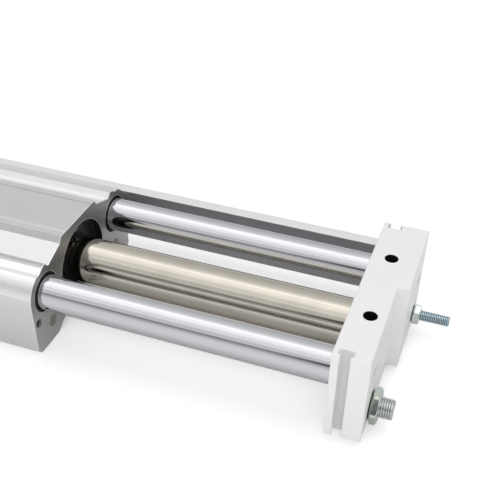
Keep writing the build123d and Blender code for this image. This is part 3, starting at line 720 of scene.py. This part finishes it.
def plate_finish(colours, node):
    """End plate: fine blasted grain under clear anodising, a painted highlight along the edges and
    round the mounting holes, and painted shade on the holes' walls. The shade of the T-slots'
    mouths is painted."""
    edge_width, rim_width, slot_shade = 0.0005, 0.0004, 0.82
    finish = metal(
        f"clear_anodised_{node}", colours.plate, (1400.0,) * 3, 0.42, 0.08, 0.22, 0.03, 0.3
    )
    shape, tree = bpy.context.scene.cylinder_shape, finish.tree
    lit = edge_lit(finish, finish.fed("Base Color"), node, edge_width, colours.bright)
    low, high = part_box(node)
    x, y, _ = split(tree, finish.where)
    middle = min(abs(low.x), abs(high.x)) + shape.slot_place
    along, across = math(tree, "ABSOLUTE", x), math(tree, "ABSOLUTE", y)
    mouth = math(tree, "COMPARE", along, middle, shape.slot_neck / 2 - mask_room)
    deep = math(tree, "GREATER_THAN", across, high.y - shape.slot_depth - mask_room)
    slot = math(tree, "MULTIPLY", mouth, deep)
    lit = blend(tree, slot, lit, brightened(tree, lit, slot_shade))
    holes = next(m for m in frame["record"]["mounts"] if m["name"] == "plate_holes")["dims"]
    centre = (holes["spacing_x_mm"] / 2000, holes["spacing_y_mm"] / 2000, 0.0)
    radius = holes["hole_r_mm"] / 1000
    flat = (1.0, 1.0, 0.0)
    # Painted highlight round the mounting holes and painted shade on their walls.
    rim = round_mask(finish, centre, radius + rim_width, flat)
    wall = round_mask(finish, centre, radius + mask_room, flat)
    lit = blend(tree, rim, lit, rgba(colours.bright))
    finish.feed("Base Color", blend(tree, wall, lit, rgba(colours.shade)))
    return finish.material


def rail_finish(colours):
    """Sensor rail: drawn lines along it and a painted highlight on its upper edge."""
    edge_height = 0.0008
    finish = metal("sensor_rail", colours.rail, (6.0, 1300.0, 1300.0), 0.38, 0.1, 0.85)
    z = split(finish.tree, finish.where)[2]
    # Painted highlight on the upper edge.
    top = math(finish.tree, "GREATER_THAN", z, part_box("sensor_rail")[1].z - edge_height)
    lit = blend(finish.tree, top, finish.fed("Base Color"), rgba(colours.rail_top_highlight))
    finish.feed("Base Color", lit)
    return finish.material


def zinc_finish(name, base, shaded):
    """Zinc plating: a slow drift between bluish and yellowish. Where the attribute painted_shade
    is 1, in thread roots and on the nuts' collars, it keeps only the share shaded: painted shade."""
    contrast, start = 2.4, -0.7
    bluish, yellowish = (0.9, 0.96, 1.0, 1.0), (1.0, 1.0, 0.9, 1.0)
    finish = metal(name, base, (700.0, 900.0, 900.0), 0.14, 0.1, 1.0, 0.08, 0.2, 120.0)
    tree = finish.tree
    slow = noise(tree, finish.where, 140.0, 3.0)
    drift = math(tree, "MULTIPLY_ADD", slow, contrast, start, clamp=True)
    tinted = stretch(tree, finish.fed("Base Color"), blend(tree, drift, bluish, yellowish))
    depth = tree.nodes.new("ShaderNodeAttribute")
    depth.attribute_name = "painted_shade"
    deep = brightened(tree, tinted, shaded)
    finish.feed("Base Color", blend(tree, depth.outputs["Fac"], tinted, deep))
    return finish.material


def soft_finish(name, base, rough, scale, relief):
    """Rubber or resin: fine pores and a little dust."""
    dust, dust_share, height = (0.3, 0.3, 0.3, 1.0), 0.05, 0.00003
    finish = Finish(name, 0.0)
    marked = finish.tool_marks(base, (scale, scale, scale), rough, 0.25, 0.35, 180.0)
    dusty = finish.group("Handling", Scale=45.0)["Mask"]
    share = math(finish.tree, "MULTIPLY", dusty, dust_share)
    finish.feed("Base Color", blend(finish.tree, share, marked["Color"], dust))
    finish.feed("Roughness", marked["Roughness"])
    finish.bump(marked["Height"], relief, height)
    return finish.material


def material_named(name):
    """A finish by the name of its material slot, built on its first use."""
    colours = bpy.context.scene.cylinder_finish
    fine, rings, turned_face = (1100.0,) * 3, (5200.0, 30.0, 30.0), (500.0, 2400.0, 2400.0)
    # Colour, tool marks, roughness, its change, metallic, change of tone, relief
    metals = {
        "dark_anodised": (colours.resin, rings, 0.4, 0.1, 0.6),
        "shaft_chrome": (colours.chrome, (2.5, 450.0, 450.0), 0.07, 0.04, 1.0, 0.07, 0.6),
        "tube_stainless": (colours.tube, (2.5, 380.0, 380.0), 0.08, 0.05, 1.0, 0.24, 0.8),
        "black_steel": (colours.black, fine, 0.36, 0.15, 0.6),
        "pad_steel": (colours.pad, turned_face, 0.3, 0.12),
        "magnet_nickel": (colours.nickel, fine, 0.22, 0.08),
        "yoke_steel": (colours.yoke, turned_face, 0.4, 0.12),
        "spring_steel": (colours.spring, fine, 0.38, 0.12, 0.9),
        "bearing_bronze": (colours.bronze, rings, 0.3, 0.1),
    }
    # Colour, and the share of it that points under painted shade keep
    platings = {
        "zinc_plated": (colours.zinc, 0.12),
        "nut_zinc": (colours.bright_zinc, 0.12),
        "blue_zinc": (colours.blue_zinc, 0.45),
        "bright_zinc": (colours.bright_zinc, 0.58),
    }
    # Colour, roughness, fineness of the pores, relief
    soft = {
        "seal_rubber": (colours.rubber, 0.55, 1500.0, 0.4),
        "bearing_resin": (colours.resin, 0.42, 900.0, 0.25),
    }
    if name in finishes:
        return finishes[name]
    if name in metals:
        made = metal(name, *metals[name]).material
    elif name in platings:
        made = zinc_finish(name, *platings[name])
    elif name in soft:
        made = soft_finish(name, *soft[name])
    else:
        made = {"sensor_rail": rail_finish, "block_anodised": block_finish}[name](colours)
    finishes[name] = made
    return made


# Pieces


class SmoothShafts(bpy.types.Operator):
    """Turn the two guide shafts, with chamfered and tapped ends"""

    bl_idname = "cylinder.shafts"
    bl_label = "Guide shafts"

    def execute(self, context):
        shape = context.scene.cylinder_shape
        bevel, tap = shape.shaft_chamfer, shape.shaft_tap
        for side, depth in zip(sides, (shape.near_tap_depth, shape.far_tap_depth)):
            node = f"guide_shaft_{side}"
            centre, radius, low, high = extent(node)
            half = ((depth, 0), (depth, tap), (0, tap), (0, radius - bevel), (bevel, radius))
            rows = [(low + inset, ring) for inset, ring in half]
            rows += [(high - inset, ring) for inset, ring in reversed(half)]
            turn_piece(f"ground_shaft_{side}", node, rows, centre, shape.ring_steps)
        return {"FINISHED"}


class SmoothTube(bpy.types.Operator):
    """Draw the thin cylinder tube"""

    bl_idname = "cylinder.tube"
    bl_label = "Cylinder tube"

    def execute(self, context):
        shape = context.scene.cylinder_shape
        node = "cylinder_tube"
        centre, radius, low, high = extent(node)
        bore, edge = radius - shape.tube_wall, shape.tube_wall / 4
        rows = [
            (low, bore + edge),
            (low, radius - edge),
            (low + edge, radius),
            (high - edge, radius),
            (high, radius - edge),
            (high, bore + edge),
            (high - edge, bore),
            (low + edge, bore),
        ]
        turn_piece("drawn_tube", node, rows, centre, shape.ring_steps, True)
        return {"FINISHED"}


class ThreadedBolts(bpy.types.Operator):
    """Cut the threads of the adjusting bolts and the sockets in their outer ends"""

    bl_idname = "cylinder.bolts"
    bl_label = "Adjusting bolts"

    def execute(self, context):
        shape = context.scene.cylinder_shape
        columns, width = shape.thread_steps, shape.bolt_socket / 2
        mouth, lead, drill = 1.06, 0.0002, 0.0005
        socket = hexagon(width, circle(columns))
        for end, out in ends.items():
            node = f"adjusting_bolt_{end}"
            centre, radius, inner, outer = extent(node, out)
            rim = radius - shape.end_chamfer
            rows = [(inner, 0)]
            rows += thread_rows(inner, outer, radius, shape.bolt_pitch, shape.end_chamfer, columns)
            rows += [(outer, (rim + width) / 2)]
            rows += socket_rows(outer, out, socket, mouth, lead, shape.socket_depth, drill)
            name = f"threaded_bolt_{end}"
            piece = turn_piece(name, node, rows, centre, columns, finish="blue_zinc")
            mark_roots(piece, centre, radius, shape.bolt_pitch)
        return {"FINISHED"}


class ShockAbsorbers(bpy.types.Operator):
    """Cut the threads of the shock absorbers and round off their caps"""

    bl_idname = "cylinder.absorbers"
    bl_label = "Shock absorbers"

    def execute(self, context):
        shape = context.scene.cylinder_shape
        columns, chamfer = shape.thread_steps, shape.end_chamfer
        edge, mouth, lead, drill = 0.0003, 1.08, 0.0002, 0.0006
        rim_share, recess_share = 0.62, 0.58
        socket = hexagon(shape.absorber_socket / 2, circle(columns))
        for end, out in ends.items():
            node = f"absorber_body_{end}"
            centre, radius, inner, outer = extent(node, out)
            bottom, recess = inner + out * shape.rod_bore_depth, outer - out * edge
            rows = [
                (bottom, 0),
                (bottom, shape.rod_bore),
                (inner + out * edge, shape.rod_bore),
                (inner, shape.rod_bore + edge),
            ]
            rows += thread_rows(inner, outer, radius, shape.absorber_pitch, chamfer, columns)
            rows += [(outer, radius * rim_share), (recess, radius * recess_share)]
            depth = shape.socket_depth - edge
            rows += socket_rows(recess, out, socket, mouth, lead, depth, drill)
            name = f"threaded_absorber_{end}"
            piece = turn_piece(name, node, rows, centre, columns, finish="bright_zinc")
            mark_roots(piece, centre, radius, shape.absorber_pitch)
            self.make_cap(shape, end, out)
        return {"FINISHED"}

    def make_cap(self, shape, end, out):
        """Cap: a face crowned by the square of the radius, and a quarter round at its edge."""
        node = f"absorber_cap_{end}"
        centre, radius, face, back = extent(node, out)
        edge, crown, steps = shape.cap_edge, 0.0002, 8
        flat = radius - edge
        rows = [
            (face + out * crown * (ring / flat) ** 2, ring) for ring in np.linspace(0, flat, steps)
        ]
        rows += [
            (face + out * (crown + edge * (1 - np.cos(turn))), flat + edge * np.sin(turn))
            for turn in np.linspace(0, np.pi / 2, steps)[1:]
        ]
        socket = back - out * shape.cap_grip
        rows += [
            (back - out * edge / 4, radius),
            (back, radius - edge / 4),
            (back, shape.rod_radius),
            (socket, shape.rod_radius),
            (socket, 0),
        ]
        turn_piece(f"rounded_cap_{end}", node, rows, centre, shape.ring_steps)


class LockNuts(bpy.types.Operator):
    """Cut the hexagon lock nuts with collars, turned bevels and countersunk threads"""

    bl_idname = "cylinder.nuts"
    bl_label = "Lock nuts"

    def execute(self, context):
        shape = context.scene.cylinder_shape
        around = circle(shape.ring_steps)
        clearance, blunt, sink = 0.00005, 0.0004, 0.0006
        seat_share, collar_share, shaded_share, face_share = 0.86, 0.88, 0.9, 0.94
        for kind, screw in (("absorber_nut", "absorber_body"), ("bolt_nut", "adjusting_bolt")):
            finish = "nut_zinc" if kind == "bolt_nut" else None
            for end, out in ends.items():
                node = f"{kind}_{end}"
                centre, _, seat, top = extent(node, out)
                bore = extent(f"{screw}_{end}")[1] + clearance
                corner_angle, corner = far_corner(node)
                flats = corner * np.cos(np.pi / 6)
                side = np.minimum(hexagon(flats, around, corner_angle), corner - blunt)
                face = flats * face_share
                bevel = (side - face) * np.tan(np.pi / 6)
                collar = seat + out * shape.nut_collar
                rows = [
                    (seat + out * sink, bore),
                    (seat, bore + sink),
                    (seat, flats * seat_share),
                    (collar, flats * collar_share),
                    (collar, face),
                    (collar + out * bevel, side),
                    (top - out * bevel, side),
                    (top, face),
                    (top, bore + sink),
                    (top - out * sink, bore),
                ]
                name, columns = f"cut_{kind}_{end}", shape.ring_steps
                piece = turn_piece(name, node, rows, centre, columns, True, finish, 25)
                self.shade_collar(piece, centre, seat, shape.nut_collar, flats * shaded_share)
        return {"FINISHED"}

    def shade_collar(self, piece, centre, seat, height, reach):
        """Full painted shade on the points up to a height over the seat and within a radius: a
        painted shadow in the gap between nut and plate.
        """
        margin = 1e-6
        points = mesh_points(piece.data)
        width = np.sqrt((off_axis(points, centre) ** 2).sum(axis=1))
        under = np.abs(points[:, 0] - seat) < height + margin
        mark_shade(piece, np.where(under & (width < reach), 1.0, 0.0))


class Scrapers(bpy.types.Operator):
    """Mould the scrapers round the shafts and the tube, with wiping lips"""

    bl_idname = "cylinder.scrapers"
    bl_label = "Scrapers"

    def execute(self, context):
        shape = context.scene.cylinder_shape
        gap = 0.00008
        for end, out in ends.items():
            for side in sides:
                node = f"shaft_scraper_{end}_{side}"
                bore = extent(f"guide_shaft_{side}")[1] + gap
                self.mould(shape, node, f"moulded_scraper_{end}_{side}", out, bore)
            bore = extent("cylinder_tube")[1] + gap
            self.mould(shape, f"tube_scraper_{end}", f"moulded_wiper_{end}", out, bore)
        return {"FINISHED"}

    def mould(self, shape, node, name, out, bore):
        """Ring whose face falls into a groove behind a lip that reaches forward to the bore.

        Each pair of the profile says how far behind the face a ring lies, and its radius.
        """
        centre, radius, back, face = extent(node, out)
        lip, wall, edge = shape.lip, radius - bore, 0.0002
        thin = bore + wall * 0.12
        profile = (
            (edge, radius),
            (0, radius - edge),
            (0, radius - wall * 0.35),
            (lip * 1.6, radius - wall * 0.5),
            (lip * 1.6, bore + wall * 0.35),
            (lip * 0.3, thin),
            (lip * 0.5, bore),
            (lip * 1.8, thin),
        )
        rows = [(face - out * depth, ring) for depth, ring in profile]
        rows += [(back, thin), (back, radius)]
        turn_piece(name, node, rows, centre, shape.ring_steps, True, sharp=30)


class StrikePads(bpy.types.Operator):
    """Turn the four strike pads, with a bevelled rim and a centre mark"""

    bl_idname = "cylinder.pads"
    bl_label = "Strike pads"

    def execute(self, context):
        node, columns = "strike_pads", 64
        low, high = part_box(node)
        radius = (high.z - low.z) / 2
        mark_centre, mark_lead, mark_floor, mark_mouth = 0.0004, 0.0001, 0.0006, 0.0009
        bevel, height, hollow = 0.0003, 0.01, 0.0002
        profile = (
            (mark_centre, 0),
            (mark_lead, mark_floor),
            (0, mark_mouth),
            (0, radius - bevel),
            (bevel, radius),
            (height - hollow, radius),
            (height, 0),
        )
        shells = []
        for face, inward in ((low.x, 1), (high.x, -1)):
            rows = [(face + inward * depth, ring) for depth, ring in profile]
            for y in (low.y + radius, high.y - radius):
                centre = ((low.x + high.x) / 2, y, (low.z + high.z) / 2)
                shells.append((turned(rows, centre, columns), False))
        make_piece("turned_pads", shells, node, sharp=25)
        return {"FINISHED"}


class CapScrews(bpy.types.Operator):
    """Make the socket head screws of the shafts and of the rail, with knurled heads"""

    bl_idname = "cylinder.screws"
    bl_label = "Socket head screws"

    def execute(self, context):
        shape = context.scene.cylinder_shape
        low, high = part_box("shaft_screws")
        head, thread = 0.0064, 0.004  # radii of an M8 screw
        middle = (low.z + high.z) / 2
        rows = (
            (low.y + head, high.x - shape.plate_step, shape.near_screw),
            (high.y - head, high.x, shape.far_screw),
        )
        shells = [
            self.screw(shape, (0, y, middle), 0, out * (top - total), out, total, head, thread)
            for y, top, total in rows
            for out in ends.values()
        ]
        make_piece("knurled_shaft_screws", shells, "shaft_screws", "zinc_plated", 30)
        low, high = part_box("rail_screws")
        head, thread = 0.004, 0.0025  # radii of an M5 screw
        shells = [
            self.screw(shape, (x, 0, z), 1, low.y, 1, high.y - low.y, head, thread)
            for x in (low.x + head, high.x - head)
            for z in (low.z + head, high.z - head)
        ]
        make_piece("knurled_rail_screws", shells, "rail_screws", "black_steel", 30)
        return {"FINISHED"}

    def screw(self, shape, centre, axis, tip, out, total, head, thread):
        """Screw from its tip to its head. The knurl is a cosine of knurls times the angle. Head
        height, socket and point follow from the thread's radius."""
        columns, knurls, edge = 144, 36, 0.0002
        crown_height, crown_waist, crown_width = 0.0007, 0.0004, 0.0008
        mouth, lead, drill = 1.1, 0.0003, 0.0006
        angle = circle(columns)
        rough = head - shape.knurl * (0.5 + 0.5 * np.cos(knurls * angle))
        top, seat = tip + out * total, tip + out * (total - thread * 2)
        rows = [
            (tip, 0),
            (tip, thread * 0.8),
            (tip + out * thread * 0.2, thread),
            (seat, thread),
            (seat, head - edge),
            (seat + out * edge, rough),
            (top - out * crown_height, rough),
            (top - out * edge, head - crown_waist),
            (top, head - crown_width),
            *socket_rows(top, out, hexagon(thread * 0.75, angle), mouth, lead, thread, drill),
        ]
        return turned(rows, centre, columns, axis), False


class CadFinishes(bpy.types.Operator):
    """Give every CAD node the finish of its material slot"""

    bl_idname = "cylinder.finishes"
    bl_label = "Finishes of the CAD nodes"

    def execute(self, context):
        colours = context.scene.cylinder_finish
        own = {"sensor_rail": material_named("sensor_rail")}
        for end in ends:
            # Painted shade: the pack collars deep in the bore take the dark finish.
            own[f"pack_collar_{end}"] = material_named("dark_anodised")
            node = f"end_plate_{end}"
            own[node] = plate_finish(colours, node)
            own[f"piston_{end}"] = own[node]
        for name, node in nodes.items():
            finish = own.get(name) or material_named(slot_of[name])
            if not node.material_slots:
                node.data.materials.append(finish)
            for slot in node.material_slots:
                slot.material = finish
        return {"FINISHED"}


# Stage


class Stage(bpy.types.Operator):
    """Set up the pale floor, the soft light and the camera"""

    bl_idname = "cylinder.stage"
    bl_label = "Stage"

    def execute(self, context):
        self.make_floor(context)
        self.make_lamps(context)
        self.make_world(context)
        camera = bpy.data.cameras.new("camera")
        camera.lens = context.scene.cylinder_light.lens
        camera.sensor_width = 36.0
        camera.shift_x, camera.shift_y = 0.00035, 0.05391
        view = add_object("camera", camera)
        view.location = (0.23336, -0.42284, 0.33485)
        view.rotation_euler = np.radians((51.6857, -1.0198, 19.5734))
        context.scene.camera = view
        context.scene.view_settings.view_transform = "Standard"
        return {"FINISHED"}

    def make_floor(self, context):
        """Pale floor just under the slide block's feet.

        Metal sees it darker by metal_share, a painted shade, with a glow that is left out within
        shade_half of the middle as a painted shadow and grows outwards over shade_edge. To the
        camera it glows evenly, and from fade_start on it fades to white.
        """
        half, drop = 3, 0.0002
        metal_share, metal_glow, shade_half, shade_edge = 0.76, 0.22, 0.05, 0.08
        glow, fade_start, fade_length, fade_rate = 0.35, 0.4, 0.6, 0.8
        level = cad_box[0][2] - drop
        mesh = bpy.data.meshes.new("floor")
        flat = ((-half, -half), (half, -half), (half, half), (-half, half))
        corners = [(x, y, level) for x, y in flat]
        mesh.from_pydata(corners, [], [(0, 1, 2, 3)])
        material = bpy.data.materials.new("floor")
        material.use_nodes = True
        tree = material.node_tree
        shader = tree.nodes["Principled BSDF"]
        shader.inputs["Roughness"].default_value = 0.9
        shader.inputs["Specular IOR Level"].default_value = 0.1
        shader.inputs["Emission Color"].default_value = (1.0, 1.0, 1.0, 1.0)
        camera_ray, mirrored = ray_kinds(tree)
        where = tree.nodes.new("ShaderNodeTexCoord").outputs["Object"]
        pale = np.array(context.scene.cylinder_finish.floor)
        # Painted shade: metal sees the floor darker.
        paint = blend(tree, mirrored, rgba(pale), rgba(pale * metal_share))
        tree.links.new(paint, shader.inputs["Base Color"])
        # Painted shadow that metal mirrors: no glow near the middle.
        away = math(tree, "SUBTRACT", math(tree, "ABSOLUTE", split(tree, where)[1]), shade_half)
        open_floor = math(tree, "DIVIDE", away, shade_edge, clamp=True)
        to_metal = math(tree, "MULTIPLY", math(tree, "MULTIPLY", mirrored, open_floor), metal_glow)
        distance = vector_math(tree, "LENGTH", where)["Value"]
        beyond = math(tree, "MINIMUM", math(tree, "SUBTRACT", distance, fade_start), fade_length)
        lift = math(tree, "MULTIPLY_ADD", beyond, fade_rate, glow)
        to_camera = math(tree, "MAXIMUM", lift, glow)
        strength = math(tree, "MULTIPLY_ADD", camera_ray, to_camera, to_metal)
        tree.links.new(strength, shader.inputs["Emission Strength"])
        mesh.materials.append(material)
        add_object("floor", mesh)

    def make_lamps(self, context):
        """Two large soft lamps, one above and one in front, that metal doesn't mirror."""
        light = context.scene.cylinder_light
        lamps = {
            "key": (light.key, 1.4, (0.1, 0.45, 1.0), (-24, 5, 0)),
            "front": (light.front, 1.2, (0.3, -1.1, 0.6), (60, 0, 14)),
        }
        for name, (power, size, place, turn) in lamps.items():
            lamp = bpy.data.lights.new(name, "AREA")
            lamp.energy, lamp.size = power, size
            lamp_object = add_object(name, lamp)
            lamp_object.location = place
            lamp_object.rotation_euler = np.radians(turn)
            lamp_object.visible_glossy = False

    def make_world(self, context):
        """White to the camera, an even fill to dull surfaces, and mirrored_bands to metal.

        A dark patch lies where the middle facet of the near lock nut mirrors the surroundings to
        the camera. It is full inside patch_core and gone outside patch_edge.
        """
        patch, patch_loss = (-0.069, -0.831, 0.553), 0.9
        patch_core, patch_edge = np.cos(np.radians(4)), np.cos(np.radians(8))
        ramp_scale = 2.0  # a ramp holds levels up to 1, so it holds them over this scale
        world = bpy.data.worlds.new("studio")
        context.scene.world = world
        world.use_nodes = True
        tree = world.node_tree
        back = tree.nodes["Background"]
        where = tree.nodes.new("ShaderNodeTexCoord").outputs["Generated"]
        _, y, z = split(tree, where)
        angle = math(tree, "ARCTAN2", z, math(tree, "MULTIPLY", y, -1.0))
        share = math(tree, "MULTIPLY_ADD", angle, 0.5 / np.pi, 0.5)
        stops = [(degrees / 360 + 0.5, level / ramp_scale) for degrees, level in mirrored_bands]
        bands = brightened(tree, make_ramp(tree, share, stops), ramp_scale)
        near = vector_math(tree, "DOT_PRODUCT", where, patch)["Value"]
        past = math(tree, "SUBTRACT", near, patch_edge)
        dark = math(tree, "DIVIDE", past, patch_core - patch_edge, clamp=True)
        bands = brightened(tree, bands, math(tree, "MULTIPLY_ADD", dark, -patch_loss, 1.0))
        fill = context.scene.cylinder_light.fill
        camera_ray, mirrored = ray_kinds(tree)
        seen = blend(tree, mirrored, (fill, fill, fill, 1.0), bands)
        white = blend(tree, camera_ray, seen, (1.0, 1.0, 1.0, 1.0))
        tree.links.new(white, back.inputs["Color"])
        back.inputs["Strength"].default_value = 1.0


class CylinderPanel(bpy.types.Panel):
    """Lists the operators and the values of the rodless cylinder"""

    bl_label = "Rodless cylinder"
    bl_idname = "VIEW3D_PT_rodless_cylinder"
    bl_space_type = "VIEW_3D"
    bl_region_type = "UI"
    bl_category = "Cylinder"

    def draw(self, context):
        for operator in operators:
            self.layout.operator(operator.bl_idname)
        for group in (
            context.scene.cylinder_shape,
            context.scene.cylinder_finish,
            context.scene.cylinder_light,
        ):
            for label in group.bl_rna.properties.keys():
                if label not in ("rna_type", "name"):
                    self.layout.prop(group, label)


operators = (
    SmoothShafts,
    SmoothTube,
    ThreadedBolts,
    ShockAbsorbers,
    LockNuts,
    Scrapers,
    StrikePads,
    CapScrews,
    CadFinishes,
    Stage,
)
classes = (CylinderShape, CylinderFinish, CylinderLight, *operators, CylinderPanel)


def register():
    for item in classes:
        bpy.utils.register_class(item)
    bpy.types.Scene.cylinder_shape = PointerProperty(type=CylinderShape)
    bpy.types.Scene.cylinder_finish = PointerProperty(type=CylinderFinish)
    bpy.types.Scene.cylinder_light = PointerProperty(type=CylinderLight)


def unregister():
    del bpy.types.Scene.cylinder_light
    del bpy.types.Scene.cylinder_finish
    del bpy.types.Scene.cylinder_shape
    for item in reversed(classes):
        bpy.utils.unregister_class(item)


def main():
    register()
    bpy.ops.cylinder.shafts()
    bpy.ops.cylinder.tube()
    bpy.ops.cylinder.bolts()
    bpy.ops.cylinder.absorbers()
    bpy.ops.cylinder.nuts()
    bpy.ops.cylinder.scrapers()
    bpy.ops.cylinder.pads()
    bpy.ops.cylinder.screws()
    bpy.ops.cylinder.finishes()
    bpy.ops.cylinder.stage()


if __name__ == "__main__":
    main()
